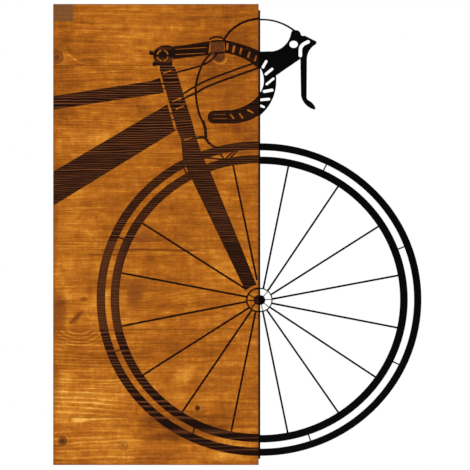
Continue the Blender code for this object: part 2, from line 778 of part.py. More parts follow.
def make_flange_screws():
    """Countersunk screws, flush with the flange. Returns the cutter that makes room for them."""
    head = FLANGE_FACE + SHEET - 0.1
    holes = []
    for i, height in enumerate(FLANGE_SCREW_HEIGHTS, 1):
        centre = (0.0, FLANGE_SCREW_DEPTH, height)
        shank = ((head - 18.0, 0.3), (head - 16.0, 1.6), (head - 1.7, 1.6))
        profile = (*shank, (head - 0.15, 3.15), (head, 3.15))
        mesh = revolve(f"flange_screw_{i}", profile, centre, "X")
        screw = place(mesh, f"flange_screw_{i}", PANEL, ZINC, 40)
        add_boolean(screw, cross_cutter(f"flange_recess_{i}", (head, FLANGE_SCREW_DEPTH, height), "X", 1.0))
        room = ((head - 18.4, 1.9), (head - 1.82, 1.9), (head + 0.8, 4.52))
        holes.append(revolve(f"flange_hole_{i}", room, centre, "X"))
    return place(joined_mesh("flange_holes", holes), "flange_holes", CUTTERS)


def hanger_knuckle(name, x):
    """The plate's top, rolled round the ring's bar."""
    centre = (KNUCKLE_Y, 0.0)
    near = GAP + KNUCKLE_INSET
    far = GAP + PLATE - KNUCKLE_INSET
    drop = -math.sqrt(KNUCKLE_RADIUS**2 - (far - KNUCKLE_Y) ** 2)
    over = ((KNUCKLE_Y, KNUCKLE_RADIUS), (KNUCKLE_Y + KNUCKLE_RADIUS, 0.0))
    under = ((KNUCKLE_Y + KNUCKLE_RADIUS * 0.5, -KNUCKLE_RADIUS * 0.866), (far, drop))
    outline = trace((near, -6.5), (near, 0.0), over, under, (far, -6.5))
    steps = 24
    turns = [math.tau * k / steps for k in range(steps)]
    bore = [(centre[0] + KNUCKLE_BORE * math.cos(t), KNUCKLE_BORE * math.sin(t)) for t in turns]
    bm = flat_solid(name, [outline, bore], -KNUCKLE_HALF, KNUCKLE_HALF)
    turn = Matrix(((0, 1, 0, x * MM), (1, 0, 0, 0), (0, 0, 1, HANGER_Z * MM), (0, 0, 0, 1)))
    bmesh.ops.transform(bm, matrix=turn, verts=bm.verts)
    return finish_bmesh(bm, name)


def make_hanger(side, x):
    half = PLATE_WIDTH / 2
    foot = HANGER_Z - PLATE_LENGTH
    shoulder = half - 0.4
    lobe = ((x, foot), (x + half, foot + half))
    plate = trace((x - shoulder, HANGER_Z - 3.0), (x - half, HANGER_Z - 8.0), (x - half, foot + half),
                  lobe, (x + half, HANGER_Z - 8.0), (x + shoulder, HANGER_Z - 3.0))
    holes = [oval((x, HANGER_Z - drop), 1.95) for drop in HANGER_SCREW_DROPS]
    mesh = finish_bmesh(flat_solid("plate", [plate] + holes, GAP, GAP + PLATE), "plate")
    body = place(mesh, f"hanger_plate_{side}", PANEL, ZINC)
    knuckle = place(hanger_knuckle(f"knuckle_{side}", x), f"knuckle_{side}", CUTTERS)
    add_boolean(body, knuckle, "UNION")
    bores = []
    for i, drop in enumerate(HANGER_SCREW_DROPS, 1):
        centre = (x, 0.0, HANGER_Z - drop)
        under = 2 * GAP + PLATE
        profile = ((-13.5, 0.3), (-12.0, 1.6), (under, 1.6), (under, 2.9), (under + 0.7, 2.9),
                   (under + 1.3, 2.45), (under + 1.6, 1.5), (under + 1.65, 0.8))
        name = f"hanger_screw_{side}_{i}"
        screw = place(revolve(name, profile, centre, "Y"), name, PANEL, ZINC, 40)
        recess = (x, under + 1.65, HANGER_Z - drop)
        add_boolean(screw, cross_cutter(f"hanger_recess_{side}_{i}", recess, "Y", 1.0))
        bores.append(revolve(f"bore_{side}_{i}", ((-13.9, 1.9), (1.0, 1.9)), centre, "Y"))
    make_ring(side, x)
    return bores


def make_ring(side, x):
    """A three-cornered wire ring, hanging from its bar in the knuckle."""
    corner = 2.6
    low_half = 3.4
    path = trace(
        (-RING_HALF + corner, 0.0),
        (RING_HALF - corner, 0.0),
        ((RING_HALF - 0.55, -0.85), (RING_HALF - 0.75, -3.1)),
        (low_half + 1.6, -RING_DROP + 2.2),
        ((0.0, -RING_DROP - 1.2), (-low_half - 1.6, -RING_DROP + 2.2)),
        (-RING_HALF + 0.75, -3.1),
        ((-RING_HALF + 0.55, -0.85), (-RING_HALF + corner, 0.0)),
    )[:-1]
    sides = 10
    bm = bmesh.new()
    rings = []
    for i, point in enumerate(path):
        before = Vector(path[i - 1])
        after = Vector(path[(i + 1) % len(path)])
        here = Vector(point)
        way = ((here - before).normalized() + (after - here).normalized()).normalized()
        normal = Vector((-way.y, way.x))
        ring = []
        for k in range(sides):
            turn = math.tau * k / sides
            flat = here + normal * RING_WIRE * math.cos(turn)
            spot = Vector((flat.x, RING_WIRE * math.sin(turn), flat.y))
            ring.append(bm.verts.new(spot * MM))
        rings.append(ring)
    for i, ring in enumerate(rings):
        following = rings[(i + 1) % len(rings)]
        for k in range(sides):
            n = (k + 1) % sides
            bm.faces.new((ring[k], ring[n], following[n], following[k]))
    ring = place(finish_bmesh(bm, f"hanger_ring_{side}"), f"hanger_ring_{side}", PANEL, ZINC, 60)
    ring.location = (x * MM, KNUCKLE_Y * MM, HANGER_Z * MM)


def make_bumpers():
    for place_name, (x, z) in BUMPER_PLACES.items():
        profile = ((GAP, BUMPER_RADIUS), (BUMPER_HEIGHT - 1.2, BUMPER_RADIUS),
                   (BUMPER_HEIGHT - 0.35, BUMPER_RADIUS - 0.35), (BUMPER_HEIGHT, BUMPER_RADIUS - 1.2))
        name = f"bumper_{place_name}"
        place(revolve(name, profile, (x, 0.0, z), "Y", 24), name, PANEL, RUBBER, 50)


flange_holes = make_flange_screws()
hanger_bores = make_hanger("left", -HANGER_X) + make_hanger("right", HANGER_X)
hanger_holes = place(joined_mesh("hanger_bores", hanger_bores), "hanger_bores", CUTTERS)
engraved_groups = [board_bands(), board_spokes(), board_hub_webs(), board_head_and_fork(), board_tubes(),
                   board_stem(), board_handlebar(), *board_cables()]
engraving = engraving_cutters("engraving", engraved_groups, ENGRAVING_DEPTH)
scorch = engraving_cutters("scorch", [board_scorch()], SCORCH_DEPTH)
make_lamellas(engraving + scorch + [flange_holes, hanger_holes])
make_steel((flange_holes,))
make_bumpers()
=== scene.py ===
"""Looks for a wall panel: stained, engraved pine on the left and cut black sheet steel on the right.

Everything is placed in metres in the model's own frame. Inside the materials, lengths are in millimetres.
"""

import math

import bmesh
import bpy
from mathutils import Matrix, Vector


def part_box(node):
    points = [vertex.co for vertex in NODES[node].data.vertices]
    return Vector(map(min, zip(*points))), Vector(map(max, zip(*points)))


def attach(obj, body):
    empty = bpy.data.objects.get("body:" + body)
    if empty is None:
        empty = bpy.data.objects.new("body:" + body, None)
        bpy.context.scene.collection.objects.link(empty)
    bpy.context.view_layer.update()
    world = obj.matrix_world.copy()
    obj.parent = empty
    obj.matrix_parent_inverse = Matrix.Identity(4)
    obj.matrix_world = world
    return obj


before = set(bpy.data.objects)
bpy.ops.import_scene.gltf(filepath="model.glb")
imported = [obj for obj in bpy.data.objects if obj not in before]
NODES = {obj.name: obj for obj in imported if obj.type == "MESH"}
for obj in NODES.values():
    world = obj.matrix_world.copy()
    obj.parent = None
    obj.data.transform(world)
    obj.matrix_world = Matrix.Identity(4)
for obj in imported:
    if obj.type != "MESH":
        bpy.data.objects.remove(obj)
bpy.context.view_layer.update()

MM = 0.001
HALF_WIDTH = 127.0
HALF_HEIGHT = 285.0
FRONT = -18.0
LAMELLAS = 6


# ---------------------------------------------------------------- node helpers


class Value:
    """A number inside a material, which can be added, multiplied and compared."""

    def __init__(self, graph, socket):
        self.graph = graph
        self.socket = socket

    def __add__(self, other):
        return self.graph.math("ADD", self, other)

    def __radd__(self, other):
        return self.graph.math("ADD", self, other)

    def __sub__(self, other):
        return self.graph.math("SUBTRACT", self, other)

    def __rsub__(self, other):
        return self.graph.math("SUBTRACT", other, self)

    def __mul__(self, other):
        return self.graph.math("MULTIPLY", self, other)

    def __rmul__(self, other):
        return self.graph.math("MULTIPLY", self, other)

    def __truediv__(self, other):
        return self.graph.math("DIVIDE", self, other)

    def __abs__(self):
        return self.graph.math("ABSOLUTE", self)

    def root(self):
        return self.graph.math("SQRT", self)

    def fraction(self):
        return self.graph.math("FRACT", self)

    def clamped(self):
        return self.graph.math("ADD", self, 0.0, clamp=True)

    def above(self, low, high):
        """0 below low, 1 above high, and a smooth step between them."""
        return self.graph.step(self, low, high)

    def below(self, low, high):
        return 1.0 - self.graph.step(self, low, high)


class Graph:
    """The nodes of one material."""

    def __init__(self, name):
        self.material = bpy.data.materials.new(name)
        self.material.use_nodes = True
        self.tree = self.material.node_tree
        self.tree.nodes.clear()
        self.out = self.node("ShaderNodeOutputMaterial")
        self.shader = self.node("ShaderNodeBsdfPrincipled")
        self.link(self.shader.outputs[0], self.out.inputs["Surface"])
        place = self.node("ShaderNodeTexCoord").outputs["Object"]
        split = self.node("ShaderNodeSeparateXYZ")
        scale = self.node("ShaderNodeVectorMath", operation="SCALE")
        scale.inputs["Scale"].default_value = 1 / MM
        self.link(place, scale.inputs[0])
        self.link(scale.outputs[0], split.inputs[0])
        self.x, self.y, self.z = (Value(self, s) for s in split.outputs)

    def node(self, kind, **settings):
        made = self.tree.nodes.new(kind)
        for key, value in settings.items():
            setattr(made, key, value)
        return made

    def link(self, source, target):
        if isinstance(source, Value):
            source = source.socket
        if isinstance(source, (int, float)):
            target.default_value = source
        elif isinstance(source, tuple):
            target.default_value = (*source, 1.0)[: len(target.default_value)]
        else:
            self.tree.links.new(source, target)

    def math(self, operation, first, second=None, clamp=False):
        made = self.node("ShaderNodeMath", operation=operation, use_clamp=clamp)
        self.link(first, made.inputs[0])
        if second is not None:
            self.link(second, made.inputs[1])
        return Value(self, made.outputs[0])

    def step(self, value, low, high):
        made = self.node("ShaderNodeMapRange", interpolation_type="SMOOTHSTEP")
        self.link(value, made.inputs["Value"])
        made.inputs["From Min"].default_value = low
        made.inputs["From Max"].default_value = high
        return Value(self, made.outputs["Result"])

    def noise(self, x, y, z, detail=2.0, roughness=0.5):
        """Smooth noise about zero, roughly from -1 to 1."""
        join = self.node("ShaderNodeCombineXYZ")
        for value, socket in zip((x, y, z), join.inputs):
            self.link(value, socket)
        made = self.node("ShaderNodeTexNoise", noise_dimensions="3D")
        self.link(join.outputs[0], made.inputs["Vector"])
        made.inputs["Scale"].default_value = 1.0
        made.inputs["Detail"].default_value = detail
        made.inputs["Roughness"].default_value = roughness
        return (Value(self, made.outputs["Fac"]) - 0.5) * 3.2

    def ramp(self, value, *stops):
        made = self.node("ShaderNodeValToRGB")
        points = made.color_ramp.elements
        while len(points) < len(stops):
            points.new(0.5)
        for point, (place, colour) in zip(points, stops):
            point.position = place
            point.color = (*colour, 1.0)
        self.link(value, made.inputs[0])
        return made.outputs["Color"]

    def mix(self, share, first, second):
        made = self.node("ShaderNodeMix", data_type="RGBA")
        sockets = [s for s in made.inputs if s.enabled]
        for value, socket in zip((share, first, second), sockets):
            self.link(value, socket)
        return next(s for s in made.outputs if s.enabled)

    def bump(self, height, distance, strength=1.0):
        """Relief of the surface: height 1 stands `distance` millimetres above height 0."""
        made = self.node("ShaderNodeBump")
        made.inputs["Distance"].default_value = distance * MM
        made.inputs["Strength"].default_value = strength
        self.link(height, made.inputs["Height"])
        self.link(made.outputs[0], self.shader.inputs["Normal"])

    def set(self, **values):
        for name, value in values.items():
            self.link(value, self.shader.inputs[name.replace("_", " ")])


# ---------------------------------------------------------------- stained pine

DEEP = (0.150, 0.036, 0.0040)
BROWN = (0.275, 0.076, 0.0050)
AMBER = (0.405, 0.119, 0.0080)
HONEY = (0.590, 0.220, 0.0200)
PALE = (0.840, 0.430, 0.0800)
EDGE_STAIN = (0.110, 0.027, 0.0050)
RED_STAIN = (0.200, 0.050, 0.0080)
GREY_STAIN = (0.120, 0.060, 0.0240)
CHAR = (0.0095, 0.0020, 0.0003)
CHAR_RIDGE = (0.200, 0.058, 0.0150)
SINGED = (0.150, 0.043, 0.0115)
KNOT_CORE = (0.045, 0.013, 0.004)
KNOT_BARK = (0.075, 0.022, 0.006)

# One row per lamella, top to bottom: ring spacing, pith depth behind the face, pith height from the
# lamella's middle, how clearly the rings show, tone, how strongly the rings stand out of the char, and
# how much paler the char is left of the fork.
GRAIN = [
    dict(ring=5.2, deep=46.0, high=-52.0, clear=0.07, tone=0.395, ridge=0.50, pale=0.02),
    dict(ring=2.9, deep=30.0, high=88.0, clear=0.09, tone=0.425, ridge=1.25, pale=0.00),
    dict(ring=2.1, deep=25.0, high=96.0, clear=0.07, tone=0.445, ridge=1.05, pale=0.00),
    dict(ring=2.6, deep=40.0, high=-84.0, clear=0.06, tone=0.455, ridge=0.45, pale=0.25),
    dict(ring=3.9, deep=50.0, high=-74.0, clear=0.12, tone=0.470, ridge=0.80, pale=0.03),
    dict(ring=4.3, deep=48.0, high=42.0, clear=0.12, tone=0.460, ridge=0.55, pale=0.00),
]

# Knots: lamella, place on the face, radius, how far they push the grain aside, darkness.
KNOTS = [
    (1, (-122.5, 219.0), 7.5, 9.0, 0.62),
    (4, (-20.0, -70.0), 9.0, 9.0, 0.0),
    (5, (-94.0, -113.0), 8.0, 9.0, 0.0),
    (5, (51.5, -214.8), 3.1, 3.0, 1.00),
    (6, (-115.5, -255.3), 5.2, 3.5, 0.80),
    (6, (-41.0, -260.5), 6.0, 4.0, 0.35),
]

# Where the stain took more or less: centre, radii, turn in degrees, change of tone.
BLOTCHES = [
    ((-95.0, -205.0), (85.0, 50.0), 0, 0.17),
    ((-60.0, -265.0), (70.0, 34.0), 0, 0.12),
    ((98.0, -262.0), (40.0, 26.0), 20, 0.24),
    ((34.0, -173.0), (22.0, 14.0), 50, 0.26),
    ((-24.0, -72.0), (14.0, 22.0), -25, -0.16),
    ((-99.0, -103.0), (14.0, 3.6), 45, -0.50),
    ((-119.0, -86.0), (9.0, 4.0), 20, -0.35),
    ((-89.0, -80.0), (6.0, 3.4), 0, -0.35),
    ((-94.0, -229.0), (12.0, 5.0), 0, 0.26),
    ((18.0, -246.0), (22.0, 9.0), 0, -0.20),
    ((-60.0, -85.0), (34.0, 26.0), 15, 0.16),
    ((-92.0, -20.0), (48.0, 90.0), 0, 0.08),
    ((-70.0, 118.0), (75.0, 26.0), 8, 0.14),
    ((-15.0, 258.0), (75.0, 46.0), 0, 0.10),
    ((88.0, -45.0), (40.0, 34.0), 0, 0.10),
    ((105.0, 215.0), (70.0, 90.0), 0, -0.15),
    ((-120.0, 190.0), (34.0, 90.0), 0, -0.13),
    ((25.0, -240.0), (70.0, 24.0), 0, -0.20),
    ((70.0, 120.0), (90.0, 40.0), 0, -0.08),
    ((-4.0, -236.0), (22.0, 11.0), 0, -0.24),
    ((75.0, -236.0), (64.0, 18.0), 0, -0.15),
    ((20.0, -145.0), (95.0, 36.0), 0, -0.10),
    ((-127.0, -95.0), (20.0, 40.0), 0, -0.20),
]

# Thin pale arcs in the top lamella, most of them sweeping away from its knot: centre, radius, ends of the
# arc in x, strength.
PALE_ARCS = [
    ((-78.0, 250.0), 39.8, (-117.0, -68.0), 0.75),
    ((-42.0, 330.0), 117.0, (-108.0, -30.0), 0.50),
    ((-60.0, 300.0), 80.0, (-112.0, -46.0), 0.40),
    ((78.5, 221.5), 9.6, (66.0, 106.0), 1.50),
]

# Redder marks: centre, radii, turn, strength.
RED_MARKS = [
    ((-16.0, -3.0), (18.0, 10.0), 8, 0.55),
    ((-24.0, -70.0), (14.0, 24.0), -25, 0.50),
    ((-122.0, -92.0), (15.0, 30.0), 0, 0.45),
    ((-98.0, -103.0), (14.0, 5.0), 48, 0.50),
    ((62.0, 216.0), (26.0, 15.0), 0, 0.35),
    ((88.0, 178.0), (30.0, 22.0), 0, 0.20),
    ((-127.0, 30.0), (9.0, 120.0), 0, 0.30),
    ((-127.0, -190.0), (12.0, 40.0), 0, 0.35),
]

# Dark resin streaks along the grain: height, ends, half thickness, strength.
STREAKS = [
    (-21.0, (-84.0, 64.0), 1.5, 0.62),
    (-27.5, (-100.0, -24.0), 1.3, 0.52),
    (-19.0, (30.0, 122.0), 0.8, 0.25),
    (141.0, (-60.0, 24.0), 1.0, 0.25),
    (-196.0, (-122.0, -60.0), 1.0, 0.22),
]

# How far the noises of one lamella lie from those of the next.
SEED_STEP = 370.0

# Depths between which the stain's marks on the face fade out inside the board.
FACE_FADE = (-12.0, -7.0)

# The rings show most left of here, where the lamellas are flat-sawn, and least right of there.
FLAT_SAWN = (-110.0, 60.0)

# Grain that curls under a knot of the lamella above: its middle, and the middle and radii of the patch.
CURLED_LAMELLA = 5
CURL_CENTRE = (-94.0, -111.0)
CURL_PATCH = ((-94.0, -122.0), (36.0, 34.0))

# Inner corner of the greyer piece let into the top left corner.
INSET_CORNER = (-102.5, 264.0)

# How far the stain gathers in from the board's outline and from a glue joint.
EDGE_REACH = 1.4
JOINT_REACH = 0.8

# Depths under the face at which the scorching starts, the full cut starts, and both end.
SCORCH_FROM = (0.06, 0.18)
CUT_FROM = (0.28, 0.42)
CUT_UNTIL = (0.9, 1.1)

# Where the thin cuts are. The cables lie above a height and right of the steering tube's axis, and the
# spokes lie inside the inner rim, beside the fork. An axis is x = at - slope * z. The wheel is an oval.
CABLES_ABOVE = (112.0, 118.0)
CABLES_OFF_AXIS = (1.0, 3.0)
STEERING_AXIS = dict(at=88.2, slope=0.311)
FORK_AXIS = dict(at=88.1, slope=0.444)
FORK_HALF_WIDTH = (14.0, 15.0)
AXLE = (126.4, -79.2)
RIM_HEIGHT_RATIO = 0.9735
SPOKES_WITHIN = (167.0, 170.0)


class Pine(Graph):
    """Stained and satin-lacquered pine for one lamella, charred where the laser has cut into it."""

    def __init__(self, number):
        super().__init__(f"stained_pine_{number}")
        self.number = number
        self.grain = GRAIN[number - 1]
        self.seed = SEED_STEP * number
        self.knots = [knot[1:] for knot in KNOTS if knot[0] == number]
        self.low, self.high = (corner.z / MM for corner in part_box(f"lamella_{number}"))
        self.side = abs(self.x)
        self.face = self.y.below(*FACE_FADE)
        self.lay_grain()
        tone = self.marked(self.stained())
        colour = self.ramp(tone, (0.0, DEEP), (0.25, BROWN), (0.47, AMBER), (0.72, HONEY), (1.0, PALE))
        colour = self.with_streaks(self.with_red_marks(colour))
        colour = self.with_edges(self.with_knots(colour))
        self.set(Base_Color=self.with_char(colour))
        self.set_surface()

    def hump(self, centre, radii, turn=0.0):
        """1 at the centre of an oval patch on the board's face, falling smoothly to 0 outside it."""
        across, up = self.x - centre[0], self.z - centre[1]
        c, s = math.cos(math.radians(turn)), math.sin(math.radians(turn))
        along = (across * c + up * s) / radii[0]
        over = (up * c - across * s) / radii[1]
        return (along * along + over * over).below(0.0, 1.0)

    def near(self, marks):
        """The marks that reach into this lamella, out of rows that start with centre and radii."""
        return [mark for mark in marks if self.low - max(mark[1]) < mark[0][1] < self.high + max(mark[1])]

    def lay_grain(self):
        """Grain that runs along x and flows round the knots, with year rings about a pith behind the face."""
        x, y, z = self.x, self.y, self.z
        flow = z
        for (kx, kz), size, push, _ in self.knots:
            across, up = (x - kx) / (3.4 * size), (z - kz) / (1.5 * size)
            flow = flow - up * push / (1.0 + across * across + up * up)
        self.sway = self.noise(x / 190.0 + self.seed, y / 90.0, z / 85.0, 1.0) * 5.0
        self.ripple = self.noise(x / 46.0 + self.seed, y / 24.0, z / 20.0, 2.0) * 1.1
        self.flow = flow + self.sway + self.ripple

        depth = y - (FRONT + self.grain["deep"])
        rise = self.flow - ((self.low + self.high) / 2 + self.grain["high"])
        radius = (depth * depth + rise * rise).root() + x * 0.012
        years = radius / self.grain["ring"]
        years = years + self.noise(years / 5.0, self.seed, 0.0, 1.0) * 1.1
        year = years.fraction()
        self.latewood = year.above(0.50, 0.86) * year.below(0.90, 1.0)

    def stained(self):
        """Tone from fibres, stain blotches, the faint cross-grain strokes of the stain pad, and the rings."""
        x, y, z, flow, seed = self.x, self.y, self.z, self.flow, self.seed
        band = self.noise(x / 120.0 + seed, y / 14.0, flow / 5.5, 3.0, 0.6)
        self.fibre = self.noise(x / 34.0 + seed, y / 2.2, flow / 1.25, 3.0, 0.65)
        grainy = self.noise(x / 60.0, y / 5.0 + seed, flow / 2.7, 3.0, 0.6)
        self.hair = self.noise(x / 9.0, y / 0.5 + seed, flow / 0.42, 2.0, 0.6)
        self.cloud = self.noise(x / 30.0 + seed, y / 40.0, z / 17.0, 4.0, 0.62)
        patch = self.noise(x / 62.0, y / 60.0 + seed, z / 24.0, 2.0, 0.5)
        self.mottle = self.noise(x / 11.0 + seed, y / 12.0, z / 5.5, 3.0, 0.68)
        stroke = self.noise(x / 3.8 + seed, y / 30.0, z / 26.0, 2.0, 0.6)
        self.speckle = self.noise(x / 2.1, y / 2.1 + seed, z / 1.9, 2.0, 0.55)

        tone = self.grain["tone"] - 0.015 + band * 0.110 + grainy * 0.180 + self.fibre * 0.150
        tone = tone + self.hair * 0.080 + self.cloud * 0.210 + patch * 0.085 + self.mottle * 0.155
        tone = tone + stroke * 0.075 + self.speckle * 0.085
        ring_share = self.grain["clear"] * x.below(*FLAT_SAWN) + self.grain["clear"] * 0.25
        return tone + (self.latewood - 0.35) * ring_share * 1.7

    def marked(self, tone):
        """The tone with the face's own marks: blotches, pale arcs and curled grain."""
        for centre, radii, turn, change in self.near(BLOTCHES):
            tone = tone + self.hump(centre, radii, turn) * self.face * change
        if self.number == CURLED_LAMELLA:
            across, up = self.x - CURL_CENTRE[0], self.z - CURL_CENTRE[1]
            curls = ((across * across * 0.45 + up * up).root() / 4.6 + self.ripple * 0.25).fraction()
            curls = (curls.above(0.1, 0.5) * curls.below(0.6, 1.0) - 0.5) * self.hump(*CURL_PATCH)
            tone = tone + curls * self.face * 0.30
        if self.number == 1:
            for arc in PALE_ARCS:
                tone = tone + self.pale_arc(*arc) * (0.30 + self.fibre * 0.15)
        return tone

    def pale_arc(self, centre, arc, ends, strength):
        """A thin arc along the lower half of a circle, fading in at its left end and out at its right."""
        across, up = self.x - centre[0], self.z - centre[1]
        off = abs((across * across + up * up).root() - arc + self.ripple * 1.4)
        line = off.below(0.4, 1.5) * self.x.above(ends[0], ends[0] + 8) * self.x.below(ends[1] - 18, ends[1])
        return line * self.z.below(centre[1] - 8, centre[1]) * self.face * strength

    def with_red_marks(self, colour):
        red = 0.10 - self.cloud * 0.09 - self.mottle * 0.07
        for centre, radii, turn, strength in self.near(RED_MARKS):
            patch = self.hump(centre, radii, turn) * self.face
            red = red + patch * strength * (1.15 + self.fibre * 0.45)
        return self.mix(red.clamped(), colour, RED_STAIN)

    def with_streaks(self, colour):
        """Long dark resin streaks, and short dark resin canals."""
        marks = []
        for height, (start, end), half, strength in STREAKS:
            if self.low < height < self.high:
                off = abs(self.flow - self.sway - height + self.ripple * 0.3) / half
                line = off.below(0.3, 1.6) * self.x.above(start, start + 25) * self.x.below(end - 25, end)
                marks.append(line * strength * (1.4 + self.fibre * 0.7))
        if marks:
            colour = self.mix(sum(marks).clamped(), colour, DEEP)
        canal = self.noise(self.x / 5.0, self.y / 1.5 + self.seed, self.flow / 0.55, 1.0)
        self.canal = canal.above(0.85, 1.25) * 0.45
        return self.mix(self.canal, colour, DEEP)

    def with_knots(self, colour):
        """Knots: a reddish eye with its own rings, a dark core, a dark bark line and a pale halo."""
        x, z = self.x, self.z
        for (kx, kz), size, _, dark in self.knots:
            across, up = (x - kx) / size, (z - kz) / size
            away = (across * across + up * up).root()
            away = away + self.noise(x / 4.0, self.y / 9.0 + self.seed, z / 4.0, 2.0) * 0.10
            rings = (away * size / 1.3).fraction().above(0.3, 0.9)
            eye = away.below(0.80, 1.15) * dark
            colour = self.mix(eye, colour, self.mix(rings * 0.5, RED_STAIN, DEEP))
            core = away.below(0.35 * dark, 0.3 + 0.65 * dark) * dark
            colour = self.mix(core, colour, KNOT_CORE)
            rim = away.above(0.72, 0.95) * away.below(1.0, 1.25) * dark
            colour = self.mix(rim * 0.8, colour, KNOT_BARK)
            halo = away.above(1.05, 1.3) * away.below(1.35, 2.0) * x.above(kx - 2, kx + 3) * dark
            colour = self.mix(halo * 0.35, colour, HONEY)
        return colour

    def with_edges(self, colour):
        """The piece let into the corner, and stain gathered in the outer edges and along the glue joints."""
        if self.number == 1:
            left, above = INSET_CORNER
            inset = self.x.below(left - 0.5, left + 0.5) * self.z.above(above - 0.5, above + 0.5)
            inset = inset * (0.72 + self.mottle * 0.20)
            colour = self.mix(inset.clamped(), colour, GREY_STAIN)
        colour = self.mix(self.side.above(HALF_WIDTH - 6.0, HALF_WIDTH) * 0.30, colour, RED_STAIN)
        edge = self.side.above(HALF_WIDTH - EDGE_REACH, HALF_WIDTH - 0.3)
        edge = edge + abs(self.z).above(HALF_HEIGHT - EDGE_REACH, HALF_HEIGHT - 0.3)
        joint = self.z.below(self.low, self.low + JOINT_REACH)
        joint = joint + self.z.above(self.high - JOINT_REACH, self.high)
        return self.mix((edge * 0.80 + joint * 0.14).clamped(), colour, EDGE_STAIN)

    def in_cuts(self):
        """1 in the cuts. The board's own sides lie as deep, so they are left out by place and direction."""
        facing = self.node("ShaderNodeSeparateXYZ")
        self.link(self.node("ShaderNodeNewGeometry").outputs["True Normal"], facing.inputs[0])
        ahead = Value(self, facing.outputs[1]).below(-0.99, -0.96)
        inside = self.side.below(HALF_WIDTH - 0.7, HALF_WIDTH - 0.5)
        inside = inside * abs(self.z).below(HALF_HEIGHT - 0.7, HALF_HEIGHT - 0.5)
        return ahead + inside * (1.0 - ahead)

    def off_axis(self, axis):
        return self.x + self.z * axis["slope"] - axis["at"]

    def thin_cuts(self):
        """How evenly the thin cuts are charred: in the cables and spokes the rings hardly stand out."""
        cables = self.z.above(*CABLES_ABOVE) * self.off_axis(STEERING_AXIS).above(*CABLES_OFF_AXIS)
        across, down = self.x - AXLE[0], (self.z - AXLE[1]) / RIM_HEIGHT_RATIO
        wheel = (across * across + down * down).root()
        spokes = wheel.below(*SPOKES_WITHIN) * abs(self.off_axis(FORK_AXIS)).above(*FORK_HALF_WIDTH)
        return (cables * 0.80 + spokes * 0.65).clamped()

    def with_char(self, colour):
        """The char: black with brown ridges in the full cut, brown in the shallow scorching."""
        depth = self.y - FRONT
        cuts = depth.below(*CUT_UNTIL) * self.in_cuts()
        shallow = depth.above(*SCORCH_FROM) * cuts
        self.full = depth.above(*CUT_FROM) * cuts

        streaky = self.noise(self.x / 26.0 + self.seed, self.y / 5.0, self.flow / 1.1, 2.0, 0.6)
        ridge = self.latewood * self.grain["ridge"] * (0.60 + streaky * 0.60)
        ridge = ridge + streaky.above(0.35, 1.3) * 0.40
        ridge = (ridge + self.x.below(-55.0, -25.0) * self.grain["pale"]).clamped()
        self.ridge = ridge * (1.0 - self.thin_cuts())
        burnt = self.mix(self.ridge, CHAR, CHAR_RIDGE)
        singed = (0.35 + self.fibre * 0.35 + self.speckle * 0.35).clamped()
        colour = self.mix(shallow * (1.0 - self.full), colour, self.mix(singed, SINGED, CHAR))
        return self.mix(self.full, colour, burnt)

    def set_surface(self):
        """Gloss of the lacquer, dull in the char, and the relief of fibres, rings and canals."""
        sheen = 0.44 + self.fibre * 0.05 - self.latewood * 0.06 + self.full * 0.30
        self.set(Roughness=sheen.clamped())
        self.shader.inputs["IOR"].default_value = 1.5
        self.shader.inputs["Specular IOR Level"].default_value = 0.06
        relief = self.hair * 0.18 + self.fibre * 0.24 + self.latewood * 0.30 - self.canal * 0.6
        relief = relief + self.full * self.ridge * 2.6 + self.full * self.fibre * 0.6
        self.bump(relief, 0.06, 0.8)


def glue():
    """Cured glue in a joint: dark amber, darker where stain has run into it."""
    g = Graph("joint_glue")
    drift = g.noise(g.x / 12.0, g.y / 3.0, g.z, 3.0, 0.6)
    tone = 0.5 + drift * 0.35
    g.set(Base_Color=g.ramp(tone, (0.2, (0.060, 0.018, 0.004)), (0.9, (0.240, 0.080, 0.014))))
    g.set(Roughness=(0.45 + drift * 0.12).clamped())
    g.bump(drift, 0.03)
    return g.material


# ---------------------------------------------------------------- metal and rubber


def powder_coat():
    """Satin black powder coat: fine orange peel, a little dust-dry mottling in the gloss."""
    g = Graph("black_powder_coat_finish")
    peel = g.noise(g.x / 0.75, g.y / 0.75, g.z / 0.75, 2.0, 0.55)
    mottle = g.noise(g.x / 14.0, g.y / 14.0, g.z / 14.0, 3.0, 0.6)
    speck = g.noise(g.x / 0.32, g.y / 0.32, g.z / 0.32, 1.0).above(0.9, 1.4)
    tone = 0.45 + mottle * 0.22 + peel * 0.12
    colour = g.ramp(tone, (0.0, (0.0008, 0.0008, 0.0009)), (1.0, (0.0022, 0.0022, 0.0024)))
    g.set(Base_Color=g.mix(speck * 0.25, colour, (0.010, 0.010, 0.0105)))
    g.set(Roughness=(0.40 + mottle * 0.05 + speck * 0.10).clamped())
    g.shader.inputs["Specular IOR Level"].default_value = 0.035
    g.bump(peel * 0.5 + speck * 0.25, 0.018)
    return g.material


def zinc():
    """Bright zinc plate: fine brushing, pale bluish bloom and darker handling marks."""
    g = Graph("zinc_plate_finish")
    bloom = g.noise(g.x / 3.5, g.y / 3.5, g.z / 3.5, 3.0, 0.6)
    brush = g.noise(g.x / 0.16, g.y / 0.6, g.z / 5.0, 2.0, 0.6)
    mark = g.noise(g.x / 1.1, g.y / 1.1, g.z / 1.4, 3.0, 0.7).above(0.55, 1.3)
    colour = g.ramp(0.5 + bloom * 0.3, (0.1, (0.46, 0.47, 0.48)), (0.9, (0.70, 0.70, 0.67)))
    g.set(Base_Color=g.mix(mark * 0.35, colour, (0.30, 0.29, 0.26)))
    g.shader.inputs["Metallic"].default_value = 1.0
    g.set(Roughness=(0.30 + bloom * 0.06 + mark * 0.18 + brush * 0.03).clamped())
    g.bump(brush * 0.5 + mark * -0.4, 0.012)
    return g.material


